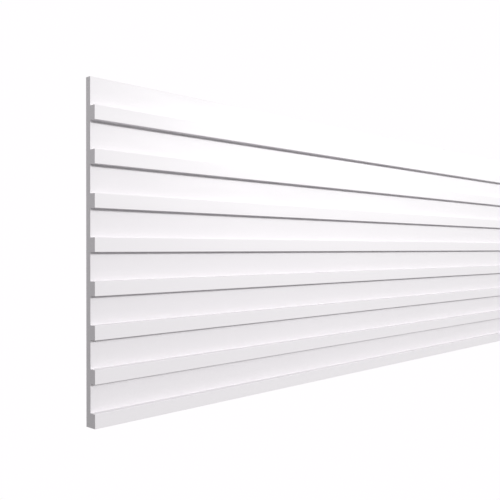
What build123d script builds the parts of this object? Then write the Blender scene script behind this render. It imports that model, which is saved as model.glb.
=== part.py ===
"""Ribbed polystyrene wall panel: one extruded piece, lying face up on its flat back.

X runs along the panel, Y across it from the foot edge to the head edge, and Z out of the back.
The origin is the middle of the back face.
"""

import os

from build123d import *

# Driving dimensions, in millimetres
LENGTH = 2000.0  # stock length, along X
RIB_COUNT = 8
RIB_PITCH = 30.0  # foot of one rib to foot of the next
RIB_HEIGHT = 10.0  # face of a rib, across the panel
RIB_PROJECTION = 5.5  # how far a rib stands out of the sheet
SHEET_THICKNESS = 5.0  # sheet behind the ribs, and all there is between them
ARRIS_RADIUS = 0.2  # rounding of the outer corners on the face
ROOT_RADIUS = 0.2  # rounding of the inner corners, where a rib meets the sheet

# Worked out from the sizes above
WIDTH = RIB_COUNT * RIB_PITCH  # a whole number of pitches, so that the next panel carries the rhythm on
THICKNESS = SHEET_THICKNESS + RIB_PROJECTION
FOOT_EDGE = -WIDTH / 2
HEAD_EDGE = WIDTH / 2

SAME_PLACE = 1e-6  # two coordinates closer than this are one


def lies_at(value, target):
    """Whether a coordinate is at a given place."""
    return abs(value - target) < SAME_PLACE


def sheet_outline():
    """Flat sheet that carries the ribs, with its back on Z = 0."""
    return Pos(0, SHEET_THICKNESS / 2) * Rectangle(WIDTH, SHEET_THICKNESS)


def rib_outline(number):
    """One square rib. Rib 0 is flush with the foot edge, and the head edge ends in plain sheet."""
    middle = FOOT_EDGE + number * RIB_PITCH + RIB_HEIGHT / 2
    half_way_out = SHEET_THICKNESS + RIB_PROJECTION / 2
    return Pos(middle, half_way_out) * Rectangle(RIB_HEIGHT, RIB_PROJECTION)


def panel_section():
    """Section across the panel, drawn with Y to the right and Z upwards, with its face corners rounded."""
    section = sheet_outline()
    for number in range(RIB_COUNT):
        section += rib_outline(number)
    rib_arrises = section.vertices().filter_by(lambda v: lies_at(v.Y, THICKNESS))
    sheet_corners = section.vertices().filter_by(lambda v: lies_at(v.Y, SHEET_THICKNESS))
    head_arris = sheet_corners.filter_by(lambda v: lies_at(v.X, HEAD_EDGE))
    section = fillet([*rib_arrises, *head_arris], ARRIS_RADIUS)
    rib_roots = section.vertices().filter_by(
        lambda v: lies_at(v.Y, SHEET_THICKNESS) and v.X < HEAD_EDGE - ARRIS_RADIUS - SAME_PLACE
    )
    return fillet(rib_roots, ROOT_RADIUS)


def wall_panel():
    """The section drawn out along X, sawn square at both ends."""
    return extrude(Plane.YZ * panel_section(), amount=LENGTH / 2, both=True)


os.makedirs("parts", exist_ok=True)
export_step(wall_panel(), "parts/wall_panel.step")
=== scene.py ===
"""Looks of the ribbed polystyrene wall panel: its primed face, sawn ends and raw back, on a white floor.

Metres. X runs along the panel, Y across it from the foot edge to the head edge, and Z out of the back.
"""

import math

import bpy
from mathutils import Matrix, Vector


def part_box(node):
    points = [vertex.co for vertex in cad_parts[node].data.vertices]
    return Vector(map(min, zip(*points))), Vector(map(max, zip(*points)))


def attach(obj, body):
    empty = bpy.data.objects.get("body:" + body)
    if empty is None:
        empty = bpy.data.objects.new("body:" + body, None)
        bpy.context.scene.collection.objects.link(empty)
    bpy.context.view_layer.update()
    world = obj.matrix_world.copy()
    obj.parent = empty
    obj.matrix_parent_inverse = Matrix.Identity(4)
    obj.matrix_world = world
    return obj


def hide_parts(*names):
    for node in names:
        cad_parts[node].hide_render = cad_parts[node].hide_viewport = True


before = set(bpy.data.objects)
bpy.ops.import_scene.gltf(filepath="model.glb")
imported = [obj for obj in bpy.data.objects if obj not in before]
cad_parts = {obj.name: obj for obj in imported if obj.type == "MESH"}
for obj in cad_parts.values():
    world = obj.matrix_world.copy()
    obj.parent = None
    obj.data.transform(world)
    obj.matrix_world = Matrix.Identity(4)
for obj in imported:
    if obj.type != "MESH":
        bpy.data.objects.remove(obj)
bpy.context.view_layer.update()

# Section of the panel. Its length, width and thickness come from the node's own box.
RIB_COUNT = 8
RIB_HEIGHT = 0.010  # face of a rib, across the panel
SHEET_THICKNESS = 0.005
ARRIS_RADIUS = 0.0002
ROOT_RADIUS = 0.0002

# Mesh of the panel
CORNERS_PER_RIB = 4.0
SAME_NUMBER = 0.5  # two whole numbers closer than this are one
MID_RIB = 1.5  # half-way between a rib's two arrises, which are its corners 1 and 2
ARC_STEPS = 5
LENGTHWISE_STEPS = 40
WELD_DISTANCE = 1e-6
FLAT = 0.9999  # a flat side's normal has at least this share along one axis
MOSTLY = 0.9  # a side is an end or the back if its normal has more than this share that way

# Primed face. A patch, a lump or a line is given by its length along the panel and its width across it.
MICRON = 1e-6
PRIMER_WHITE = (0.828, 0.804, 0.828, 1.0)
PRIMER_PATCH = (0.40, 0.05)
PRIMER_DRIFT = 0.006
PRIMER_ROUGHNESS = 0.42
GLOSS_PATCH = (0.090, 0.012)
GLOSS_DRIFT = 0.025
PEEL_LUMP = (0.0018, 0.0012)
PEEL_DEPTH = 12 * MICRON
FACE_LINE = (1.20, 0.0016)
FACE_LINE_DEPTH = 8 * MICRON

# Bare foam, cut on the ends and with its extruded skin on the back
FOAM_WHITE = (0.828, 0.796, 0.828, 1.0)
PAINTED_PIT_SHARE = 0.6  # of the painted shade on the cells, the share that darkens their pits, while the rest lightens their walls
CUT_PATCH = (0.02, 0.02)
CUT_DRIFT = 0.010
CUT_CELL_SIZE = 0.00035
CUT_CELL_DEPTH = 35 * MICRON
# Amount of painted shade in the cut cells' pits, part of it lightening their walls instead
CUT_PAINTED_PIT_SHADE = 0.10
CUT_ROUGHNESS = (0.72, 0.82)
SAW_RADIUS = 0.125
SAW_CENTRE_HEIGHT = -0.100
SAW_MARK_SPACING = 0.0011
SAW_MARK_DEPTH = 80 * MICRON
SKIN_PATCH = (0.25, 0.03)
SKIN_DRIFT = 0.015
SKIN_CELL_SIZE = 0.0006
SKIN_CELL_DEPTH = 20 * MICRON
# Amount of painted shade in the skin cells' pits, part of it lightening their walls instead
SKIN_PAINTED_PIT_SHADE = 0.05
SKIN_ROUGHNESS = (0.66, 0.76)
SKIN_LINE = (0.60, 0.0022)
SKIN_LINE_DEPTH = 40 * MICRON

# Patterns. Their values run from 0 to 1, and what lies outside the middle half of that is cut off.
PATTERN_LOW = 0.25
PATTERN_HIGH = 0.75
PATCH_DETAIL = 2.0  # rounds of finer noise in the patches
RELIEF_DETAIL = 1.0  # rounds of finer noise in the lumps, lines and marks

# Studio
FLOOR_HALF_SIZE = 6.0
FLOOR_LEVEL = -0.0002
GLOW_REACH = 0.6  # from the middle to where the floor's light is at its weakest and its strongest
GLOW_AT_FOOT = 0.18
GLOW_AT_HEAD = 0.88
ROOM_LIGHT = 0.18
SEEN_WHITE = (1.01, 0.991, 1.01, 1.0)
LAMPS = (
    # name, then turn from +X, height and softness in degrees, then strength
    ("key_high", 17.0, 44.0, 5.0, 1.33),
    ("key_low", 11.0, 33.0, 5.0, 0.68),
    ("overhead", 135.0, 63.0, 25.0, 0.77),
    ("head_side_high", 90.0, 45.0, 25.0, 0.24),
    ("head_side_low", 90.0, 15.0, 25.0, 0.45),
    ("far_end", 335.0, 30.0, 25.0, 0.24),
)

# Camera, in the panel's frame
CAMERA_PLACE = Vector((-1.2652, 0.0015, 0.4121))
CAMERA_DOWN = math.radians(43.97)
CAMERA_LEAN = math.radians(-0.028)
CAMERA_ROLL = math.radians(-0.064)
LENS = 50.0
SENSOR = 36.0


def feed(tree, socket, value):
    """Links a socket to the value if that is a socket too, and sets it otherwise."""
    if isinstance(value, bpy.types.NodeSocket):
        tree.links.new(value, socket)
    else:
        socket.default_value = value


def add_node(tree, kind, inputs=None, **options):
    """Adds a node with its options, and feeds its inputs, which are named or numbered."""
    node = tree.nodes.new(kind)
    for name, value in options.items():
        setattr(node, name, value)
    for key, value in (inputs or {}).items():
        feed(tree, node.inputs[key], value)
    return node


def maths(tree, operation, first, second=0.0):
    """Result of one sum on two numbers or fields."""
    return add_node(tree, "ShaderNodeMath", {0: first, 1: second}, operation=operation).outputs[0]


def same(tree, first, second):
    """1 where two whole numbers are the same, and 0 elsewhere."""
    values = {0: first, 1: second, 2: SAME_NUMBER}
    return add_node(tree, "ShaderNodeMath", values, operation="COMPARE").outputs[0]


def section_points(tree, size):
    """Corner points of the section, four to a rib, and two that close it at the head edge and the back.

    A corner's number within its rib says where it is: 0 and 3 are the roots, 1 and 2 the arrises.
    The first rib is flush with the foot edge, so its corner 0 lies on the back.
    """
    number = add_node(tree, "GeometryNodeInputIndex").outputs[0]
    last = maths(tree, "ADD", maths(tree, "MULTIPLY", size["Rib Count"], CORNERS_PER_RIB), 1.0)
    rib = maths(tree, "FLOOR", maths(tree, "DIVIDE", number, CORNERS_PER_RIB))
    corner = maths(tree, "MODULO", number, CORNERS_PER_RIB)
    from_mid_rib = maths(tree, "SUBTRACT", corner, MID_RIB)
    past_rib = maths(tree, "GREATER_THAN", from_mid_rib, 0.0)
    on_rib_face = maths(tree, "LESS_THAN", maths(tree, "ABSOLUTE", from_mid_rib), 1.0)
    on_back = maths(tree, "MAXIMUM", same(tree, number, 0.0), same(tree, number, last))
    off_back = maths(tree, "SUBTRACT", 1.0, on_back)
    at_head = same(tree, number, maths(tree, "SUBTRACT", last, 1.0))

    foot = maths(tree, "MULTIPLY", size["Width"], -0.5)
    across = maths(tree, "ADD", foot, maths(tree, "MULTIPLY", rib, size["Rib Pitch"]))
    across = maths(tree, "ADD", across, maths(tree, "MULTIPLY", past_rib, size["Rib Height"]))
    out = maths(tree, "MULTIPLY", on_rib_face, size["Rib Projection"])
    out = maths(tree, "ADD", out, size["Sheet Thickness"])
    out = maths(tree, "MULTIPLY", out, off_back)

    rounded_out = maths(tree, "MAXIMUM", on_rib_face, at_head)
    rounded_in = maths(tree, "SUBTRACT", 1.0, rounded_out)
    radius = maths(tree, "MULTIPLY", rounded_out, size["Arris Radius"])
    radius = maths(tree, "ADD", radius, maths(tree, "MULTIPLY", rounded_in, size["Root Radius"]))
    radius = maths(tree, "MULTIPLY", radius, off_back)

    # Drawn along +X, a profile's own X comes out as -Y and its Y as -Z
    place = add_node(
        tree,
        "ShaderNodeCombineXYZ",
        {"X": maths(tree, "MULTIPLY", across, -1.0), "Y": maths(tree, "MULTIPLY", out, -1.0)},
    )
    line = add_node(tree, "GeometryNodeMeshLine", {"Count": maths(tree, "ADD", last, 1.0)})
    placed = add_node(
        tree, "GeometryNodeSetPosition", {"Geometry": line.outputs[0], "Position": place.outputs[0]}
    )
    noted = add_node(
        tree,
        "GeometryNodeStoreNamedAttribute",
        {"Geometry": placed.outputs[0], "Name": "corner_radius", "Value": radius},
        data_type="FLOAT",
        domain="POINT",
    )
    return noted.outputs[0]


def drawn_panel(tree, size):
    """The rounded section drawn out along the panel, closed at both ends."""
    outline = add_node(tree, "GeometryNodeMeshToCurve", {"Mesh": section_points(tree, size)})
    closed = add_node(
        tree, "GeometryNodeSetSplineCyclic", {"Geometry": outline.outputs[0], "Cyclic": True}
    )
    corner_radius = add_node(
        tree, "GeometryNodeInputNamedAttribute", {"Name": "corner_radius"}, data_type="FLOAT"
    )
    rounded = add_node(
        tree,
        "GeometryNodeFilletCurve",
        {
            "Curve": closed.outputs[0],
            "Radius": corner_radius.outputs[0],
            "Count": size["Arc Steps"],
            "Limit Radius": True,
        },
        mode="POLY",
    )
    half = maths(tree, "MULTIPLY", size["Length"], 0.5)
    left = add_node(tree, "ShaderNodeCombineXYZ", {"X": maths(tree, "MULTIPLY", half, -1.0)})
    right = add_node(tree, "ShaderNodeCombineXYZ", {"X": half})
    run = add_node(
        tree, "GeometryNodeCurvePrimitiveLine", {"Start": left.outputs[0], "End": right.outputs[0]}
    )
    steps = add_node(
        tree,
        "GeometryNodeResampleCurve",
        {"Curve": run.outputs[0], "Count": maths(tree, "ADD", size["Lengthwise Steps"], 1.0)},
    )
    drawn = add_node(
        tree,
        "GeometryNodeCurveToMesh",
        {"Curve": steps.outputs[0], "Profile Curve": rounded.outputs[0], "Fill Caps": True},
    )
    outward = add_node(tree, "GeometryNodeFlipFaces", {"Mesh": drawn.outputs[0]})
    welded = add_node(
        tree, "GeometryNodeMergeByDistance", {"Geometry": outward.outputs[0], "Distance": WELD_DISTANCE}
    )
    return welded.outputs[0]


def panel_tree(values):
    """Geometry nodes that make the panel, with a named input for each size and each side's finish."""
    tree = bpy.data.node_groups.new("ribbed_panel", "GeometryNodeTree")
    tree.interface.new_socket("Geometry", in_out="OUTPUT", socket_type="NodeSocketGeometry")
    for name, value in values.items():
        kind = "NodeSocketMaterial" if isinstance(value, bpy.types.Material) else "NodeSocketFloat"
        tree.interface.new_socket(name, in_out="INPUT", socket_type=kind)
    size = tree.nodes.new("NodeGroupInput").outputs
    drawn = drawn_panel(tree, size)

    facing = add_node(tree, "GeometryNodeInputNormal")
    split = add_node(tree, "ShaderNodeSeparateXYZ", {0: facing.outputs[0]}).outputs
    along = maths(tree, "ABSOLUTE", split["X"])
    sideways = maths(tree, "ABSOLUTE", split["Y"])
    upright = maths(tree, "ABSOLUTE", split["Z"])
    squarest = maths(tree, "MAXIMUM", maths(tree, "MAXIMUM", along, sideways), upright)
    on_arc = maths(tree, "LESS_THAN", squarest, FLAT)
    on_end = maths(tree, "GREATER_THAN", along, MOSTLY)
    on_back = maths(tree, "LESS_THAN", split["Z"], -MOSTLY)

    flat = add_node(tree, "GeometryNodeSetShadeSmooth", {"Geometry": drawn, "Shade Smooth": False})
    soft = add_node(
        tree,
        "GeometryNodeSetShadeSmooth",
        {"Geometry": flat.outputs[0], "Selection": on_arc, "Shade Smooth": True},
    )
    real = add_node(tree, "GeometryNodeRealizeInstances", {"Geometry": soft.outputs[0]})
    faced = add_node(
        tree, "GeometryNodeSetMaterial", {"Geometry": real.outputs[0], "Material": size["Face Finish"]}
    )
    sawn = add_node(
        tree,
        "GeometryNodeSetMaterial",
        {"Geometry": faced.outputs[0], "Selection": on_end, "Material": size["End Finish"]},
    )
    backed = add_node(
        tree,
        "GeometryNodeSetMaterial",
        {"Geometry": sawn.outputs[0], "Selection": on_back, "Material": size["Back Finish"]},
    )
    add_node(tree, "NodeGroupOutput", {0: backed.outputs[0]})
    return tree


def shader_group(name, inputs, outputs):
    """Empty shader node group with named sockets, and its two ends."""
    group = bpy.data.node_groups.new(name, "ShaderNodeTree")
    for label, kind in inputs.items():
        group.interface.new_socket(label, in_out="INPUT", socket_type=kind)
    for label, kind in outputs.items():
        group.interface.new_socket(label, in_out="OUTPUT", socket_type=kind)
    return group, group.nodes.new("NodeGroupInput").outputs, group.nodes.new("NodeGroupOutput").inputs


def stretched(tree, place, along, across):
    """Place on the panel counted in steps of one length along it and another across it."""
    along_scale = maths(tree, "DIVIDE", 1.0, along)
    across_scale = maths(tree, "DIVIDE", 1.0, across)
    steps = add_node(tree, "ShaderNodeCombineXYZ", {0: along_scale, 1: across_scale, 2: across_scale})
    scaled = add_node(
        tree, "ShaderNodeVectorMath", {0: place, 1: steps.outputs[0]}, operation="MULTIPLY"
    )
    return scaled.outputs[0]


def noise(tree, place, detail):
    """Smooth noise from 0 to 1, one lump to a step."""
    return add_node(
        tree, "ShaderNodeTexNoise", {"Vector": place, "Scale": 1.0, "Detail": detail}
    ).outputs["Fac"]


def spread(tree, value, low, high):
    """The middle half of a pattern's range drawn out between two numbers."""
    return add_node(
        tree, "ShaderNodeMapRange", {"Value": value, 1: PATTERN_LOW, 2: PATTERN_HIGH, 3: low, 4: high}
    ).outputs[0]


def shaded(tree, tone, factor):
    """A tone made lighter or darker by a factor."""
    return add_node(
        tree, "ShaderNodeVectorMath", {0: tone, "Scale": factor}, operation="SCALE"
    ).outputs[0]


def make_tone_drift():
    """A tone that drifts a little lighter and darker in patches, as a batch of primer or foam does."""
    group, given, result = shader_group(
        "tone_drift",
        {
            "Place": "NodeSocketVector",
            "Tone": "NodeSocketColor",
            "Patch Length": "NodeSocketFloat",
            "Patch Width": "NodeSocketFloat",
            "Drift": "NodeSocketFloat",
        },
        {"Colour": "NodeSocketColor"},
    )
    patch = stretched(group, given["Place"], given["Patch Length"], given["Patch Width"])
    darkest = maths(group, "SUBTRACT", 1.0, given["Drift"])
    lightest = maths(group, "ADD", 1.0, given["Drift"])
    factor = spread(group, noise(group, patch, PATCH_DETAIL), darkest, lightest)
    feed(group, result["Colour"], shaded(group, given["Tone"], factor))
    return group


def make_draw_lines():
    """Height of the fine lines that the die draws along an extrusion."""
    group, given, result = shader_group(
        "draw_lines",
        {"Place": "NodeSocketVector", "Line Length": "NodeSocketFloat", "Line Width": "NodeSocketFloat"},
        {"Height": "NodeSocketFloat"},
    )
    line = stretched(group, given["Place"], given["Line Length"], given["Line Width"])
    feed(group, result["Height"], noise(group, line, RELIEF_DETAIL))
    return group


def make_foam_cells():
    """Foam cells: the tone with painted shade darkening their pits and lightening their walls, their
    height, and a number that each has to itself.
    """
    group, given, result = shader_group(
        "foam_cells",
        {
            "Place": "NodeSocketVector",
            "Tone": "NodeSocketColor",
            "Cell Size": "NodeSocketFloat",
            "Painted Pit Shade": "NodeSocketFloat",
        },
        {"Colour": "NodeSocketColor", "Height": "NodeSocketFloat", "Cell": "NodeSocketFloat"},
    )
    place = stretched(group, given["Place"], given["Cell Size"], given["Cell Size"])
    cells = add_node(group, "ShaderNodeTexVoronoi", {"Vector": place, "Scale": 1.0}, feature="F1")
    from_middle = cells.outputs["Distance"]
    # Painted shade: the tone darkens towards each cell's middle, in its pit, and lightens on its walls.
    painted_pit_dark = maths(group, "SUBTRACT", 1.0, maths(group, "MULTIPLY", given["Painted Pit Shade"], PAINTED_PIT_SHARE))
    painted_wall_light = maths(group, "ADD", 1.0, maths(group, "MULTIPLY", given["Painted Pit Shade"], 1.0 - PAINTED_PIT_SHARE))
    factor = spread(group, from_middle, painted_pit_dark, painted_wall_light)
    cell = add_node(group, "ShaderNodeSeparateColor", {0: cells.outputs["Color"]})
    feed(group, result["Colour"], shaded(group, given["Tone"], factor))
    feed(group, result["Height"], from_middle)
    feed(group, result["Cell"], cell.outputs[0])
    return group


def use(tree, group, values):
    """Places a shader group in a material with its own values."""
    return add_node(tree, "ShaderNodeGroup", values, node_tree=group).outputs


def drifting(tree, place, tone, patch, drift):
    """A tone that drifts over patches of a given length and width."""
    length, width = patch
    values = {"Place": place, "Tone": tone, "Patch Length": length, "Patch Width": width, "Drift": drift}
    return use(tree, TONE_DRIFT, values)["Colour"]


def drawn_lines(tree, place, line):
    """Height of draw lines of a given length and width."""
    length, width = line
    return use(tree, DRAW_LINES, {"Place": place, "Line Length": length, "Line Width": width})["Height"]


def foam(tree, place, tone, cell_size, painted_pit_shade):
    """Cells of a given size, whose pits darken a tone by a given amount of painted shade."""
    values = {"Place": place, "Tone": tone, "Cell Size": cell_size, "Painted Pit Shade": painted_pit_shade}
    return use(tree, FOAM_CELLS, values)


def saw_marks(tree, place):
    """Height of the marks of a round blade across an end, each an arc of the blade's own radius."""
    across = add_node(tree, "ShaderNodeSeparateXYZ", {0: place}).outputs
    over_centre = maths(tree, "SUBTRACT", across["Z"], SAW_CENTRE_HEIGHT)
    reach = maths(tree, "SUBTRACT", SAW_RADIUS**2, maths(tree, "POWER", over_centre, 2.0))
    blade_stood = maths(tree, "SUBTRACT", across["Y"], maths(tree, "SQRT", reach))
    turn = maths(tree, "DIVIDE", blade_stood, SAW_MARK_SPACING)
    values = {"W": turn, "Scale": 1.0, "Detail": RELIEF_DETAIL}
    return add_node(tree, "ShaderNodeTexNoise", values, noise_dimensions="1D").outputs["Fac"]


def relief(tree, height, depth, below=None):
    """Normal of a relief of a given depth, on top of another relief."""
    values = {"Height": height, "Strength": 1.0, "Distance": depth}
    if below is not None:
        values["Normal"] = below
    return add_node(tree, "ShaderNodeBump", values).outputs[0]


def start_finish(name):
    """New material, its node tree and the place on the panel that its patterns read."""
    material = bpy.data.materials.new(name)
    material.use_nodes = True
    tree = material.node_tree
    return material, tree, tree.nodes.new("ShaderNodeTexCoord").outputs["Object"]


def end_finish(tree, colour, roughness, normal):
    """Feeds what changes over a finish to its shader."""
    shader = tree.nodes["Principled BSDF"].inputs
    feed(tree, shader["Base Color"], colour)
    feed(tree, shader["Roughness"], roughness)
    feed(tree, shader["Normal"], normal)


def make_primed_face():
    """Satin white primer: a thin even film, with a trace of orange peel and of the draw lines under it."""
    material, tree, place = start_finish("primed_face")
    colour = drifting(tree, place, PRIMER_WHITE, PRIMER_PATCH, PRIMER_DRIFT)
    gloss = noise(tree, stretched(tree, place, *GLOSS_PATCH), PATCH_DETAIL)
    glossiest = PRIMER_ROUGHNESS - GLOSS_DRIFT
    dullest = PRIMER_ROUGHNESS + GLOSS_DRIFT
    peel = noise(tree, stretched(tree, place, *PEEL_LUMP), RELIEF_DETAIL)
    normal = relief(tree, drawn_lines(tree, place, FACE_LINE), FACE_LINE_DEPTH)
    normal = relief(tree, peel, PEEL_DEPTH, normal)
    end_finish(tree, colour, spread(tree, gloss, glossiest, dullest), normal)
    return material


def make_sawn_end():
    """Bare foam where the panel was sawn to length: fine cut cells and the faint marks of the blade."""
    material, tree, place = start_finish("sawn_end")
    tone = drifting(tree, place, FOAM_WHITE, CUT_PATCH, CUT_DRIFT)
    # The cells darken the tone in their pits with painted shade.
    cells = foam(tree, place, tone, CUT_CELL_SIZE, CUT_PAINTED_PIT_SHADE)
    normal = relief(tree, saw_marks(tree, place), SAW_MARK_DEPTH)
    normal = relief(tree, cells["Height"], CUT_CELL_DEPTH, normal)
    end_finish(tree, cells["Colour"], spread(tree, cells["Cell"], *CUT_ROUGHNESS), normal)
    return material


def make_raw_back():
    """Bare extruded skin of the back, left unprimed for the glue."""
    material, tree, place = start_finish("raw_back")
    tone = drifting(tree, place, FOAM_WHITE, SKIN_PATCH, SKIN_DRIFT)
    # The cells darken the tone in their pits with painted shade.
    cells = foam(tree, place, tone, SKIN_CELL_SIZE, SKIN_PAINTED_PIT_SHADE)
    normal = relief(tree, drawn_lines(tree, place, SKIN_LINE), SKIN_LINE_DEPTH)
    normal = relief(tree, cells["Height"], SKIN_CELL_DEPTH, normal)
    end_finish(tree, cells["Colour"], spread(tree, cells["Cell"], *SKIN_ROUGHNESS), normal)
    return material


def make_panel():
    """The panel as one plain mesh in place of its solid."""
    low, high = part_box("wall_panel")
    length, width, thickness = (high[i] - low[i] for i in range(3))
    values = {
        "Length": length,
        "Width": width,
        "Rib Count": float(RIB_COUNT),
        "Rib Pitch": width / RIB_COUNT,
        "Rib Height": RIB_HEIGHT,
        "Rib Projection": thickness - SHEET_THICKNESS,
        "Sheet Thickness": SHEET_THICKNESS,
        "Arris Radius": ARRIS_RADIUS,
        "Root Radius": ROOT_RADIUS,
        "Arc Steps": float(ARC_STEPS),
        "Lengthwise Steps": float(LENGTHWISE_STEPS),
        "Face Finish": make_primed_face(),
        "End Finish": make_sawn_end(),
        "Back Finish": make_raw_back(),
    }
    panel = bpy.data.objects.new("ribbed_panel", bpy.data.meshes.new("panel_start"))
    bpy.context.scene.collection.objects.link(panel)
    tree = panel_tree(values)
    draw = panel.modifiers.new("draw_section", "NODES")
    draw.node_group = tree
    for socket in tree.interface.items_tree:
        if socket.in_out == "INPUT":
            draw[socket.identifier] = values[socket.name]
    made = panel.evaluated_get(bpy.context.evaluated_depsgraph_get())
    mesh = bpy.data.meshes.new_from_object(made)
    panel.modifiers.remove(draw)
    panel.data = mesh
    mesh.name = "ribbed_panel"
    return panel


def white_to_camera(tree, seen_white, other_rays):
    """Plain white where the camera looks at it, and a shader of its own for all other light."""
    camera_ray = tree.nodes.new("ShaderNodeLightPath").outputs["Is Camera Ray"]
    return add_node(tree, "ShaderNodeMixShader", {0: camera_ray, 1: other_rays, 2: seen_white}).outputs[0]


def make_floor():
    """Wide white floor that burns out to the camera and throws light up at the panel's edges.

    The light that it throws grows from the foot side to the head side, as more lamps stand there.
    """
    material = bpy.data.materials.new("floor_white")
    material.use_nodes = True
    # Bounced rays alone find its light: the ribbed face can't see it, so aiming at it only adds grain
    material.cycles.emission_sampling = "NONE"
    tree = material.node_tree
    tree.nodes.remove(tree.nodes["Principled BSDF"])
    place = tree.nodes.new("ShaderNodeTexCoord").outputs["Object"]
    across = add_node(tree, "ShaderNodeSeparateXYZ", {0: place}).outputs["Y"]
    glow = add_node(
        tree,
        "ShaderNodeMapRange",
        {"Value": across, 1: -GLOW_REACH, 2: GLOW_REACH, 3: GLOW_AT_FOOT, 4: GLOW_AT_HEAD},
    )
    thrown = add_node(tree, "ShaderNodeEmission", {"Strength": glow.outputs[0]})
    seen = add_node(tree, "ShaderNodeEmission", {"Color": SEEN_WHITE, "Strength": 1.0})
    surface = white_to_camera(tree, seen.outputs[0], thrown.outputs[0])
    feed(tree, tree.nodes["Material Output"].inputs["Surface"], surface)

    reach = FLOOR_HALF_SIZE
    corners = [(-reach, -reach), (reach, -reach), (reach, reach), (-reach, reach)]
    mesh = bpy.data.meshes.new("floor")
    mesh.from_pydata([(x, y, FLOOR_LEVEL) for x, y in corners], [], [(0, 1, 2, 3)])
    mesh.materials.append(material)
    floor = bpy.data.objects.new("floor", mesh)
    bpy.context.scene.collection.objects.link(floor)
    return floor


def make_backdrop():
    """Same white beyond the floor, which lights the panel only faintly."""
    world = bpy.data.worlds.new("studio")
    world.use_nodes = True
    tree = world.node_tree
    room = tree.nodes["Background"]
    room.inputs["Color"].default_value = (1.0, 1.0, 1.0, 1.0)
    room.inputs["Strength"].default_value = ROOM_LIGHT
    seen = add_node(tree, "ShaderNodeBackground", {"Color": SEEN_WHITE, "Strength": 1.0})
    surface = white_to_camera(tree, seen.outputs[0], room.outputs[0])
    feed(tree, tree.nodes["World Output"].inputs["Surface"], surface)
    bpy.context.scene.world = world


def add_lamp(name, turn, height, softness, strength):
    """Distant soft lamp, turned from +X towards +Y and raised over the panel's plane."""
    turn = math.radians(turn)
    height = math.radians(height)
    level = math.cos(height)
    towards = Vector((level * math.cos(turn), level * math.sin(turn), math.sin(height)))
    light = bpy.data.lights.new(name, "SUN")
    light.energy = strength
    light.angle = math.radians(softness)
    lamp = bpy.data.objects.new(name, light)
    lamp.rotation_euler = towards.to_track_quat("Z", "Y").to_euler()
    bpy.context.scene.collection.objects.link(lamp)


def add_camera():
    """Camera off the left end, looking along the panel and down on it, with the head edge at the top."""
    data = bpy.data.cameras.new("camera")
    data.lens = LENS
    data.sensor_width = SENSOR
    camera = bpy.data.objects.new("camera", data)
    bpy.context.scene.collection.objects.link(camera)
    ahead = Vector((math.cos(CAMERA_DOWN), 0.0, -math.sin(CAMERA_DOWN)))
    up = Vector((0.0, 1.0, 0.0))
    right = ahead.cross(up)
    turn = Matrix((right, up, -ahead)).transposed().to_4x4()
    lean = Matrix.Rotation(CAMERA_LEAN, 4, "X") @ Matrix.Rotation(CAMERA_ROLL, 4, "Z")
    camera.matrix_world = Matrix.Translation(CAMERA_PLACE) @ turn @ lean
    bpy.context.scene.camera = camera


TONE_DRIFT = make_tone_drift()
DRAW_LINES = make_draw_lines()
FOAM_CELLS = make_foam_cells()

panel = make_panel()
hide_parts("wall_panel")
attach(panel, "root")

floor = make_floor()
make_backdrop()
for lamp_values in LAMPS:
    add_lamp(*lamp_values)
add_camera()
bpy.context.scene.view_settings.view_transform = "Standard"
